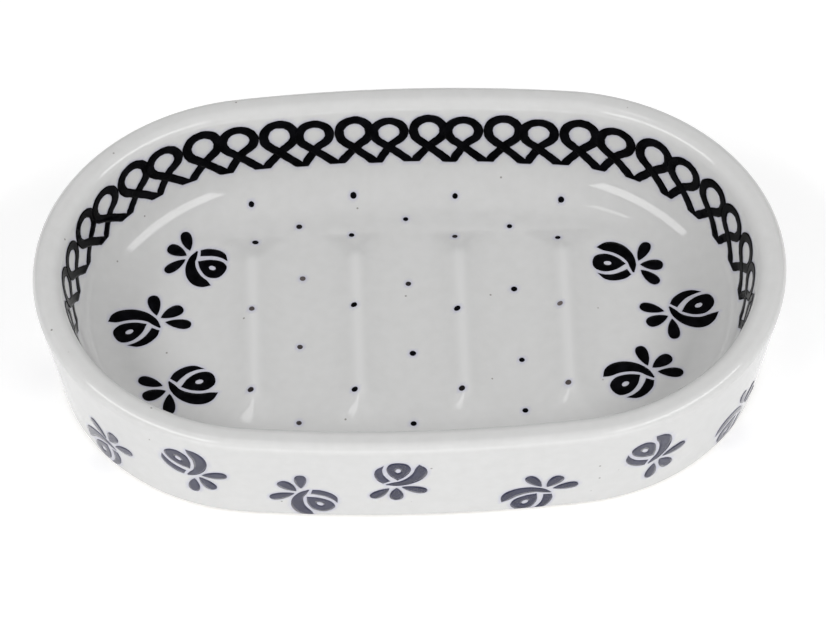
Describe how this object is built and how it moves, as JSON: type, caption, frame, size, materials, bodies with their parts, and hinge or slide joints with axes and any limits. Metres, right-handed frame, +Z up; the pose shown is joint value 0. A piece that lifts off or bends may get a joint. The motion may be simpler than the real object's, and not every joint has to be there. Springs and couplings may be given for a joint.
{
  "type": "soap dish",
  "caption": "Shallow oval soap dish of white glazed stoneware, with a rounded lip and raised ribs across its floor that keep a bar of soap off the water.",
  "frame": {"origin": "on the table, under the middle of the dish", "axes": "+X along the length of the oval, +Y across it away from the picture's viewer, +Z up"},
  "size_m": [0.14, 0.089, 0.025],
  "materials": {
    "stoneware": "matt fired clay, bare on the foot ring",
    "glaze": "glossy white glaze with a few fine dark specks",
    "ink_inside": "black underglaze stamping under the glossy glaze, inside the dish",
    "ink_outside": "black underglaze stamping with a violet cast, under the glossy glaze, outside the dish"
  },
  "bodies": {
    "root": {"stoneware_body": "stoneware", "glaze_coat": "glaze", "base_glaze": "glaze"}
  },
  "joints": []
}
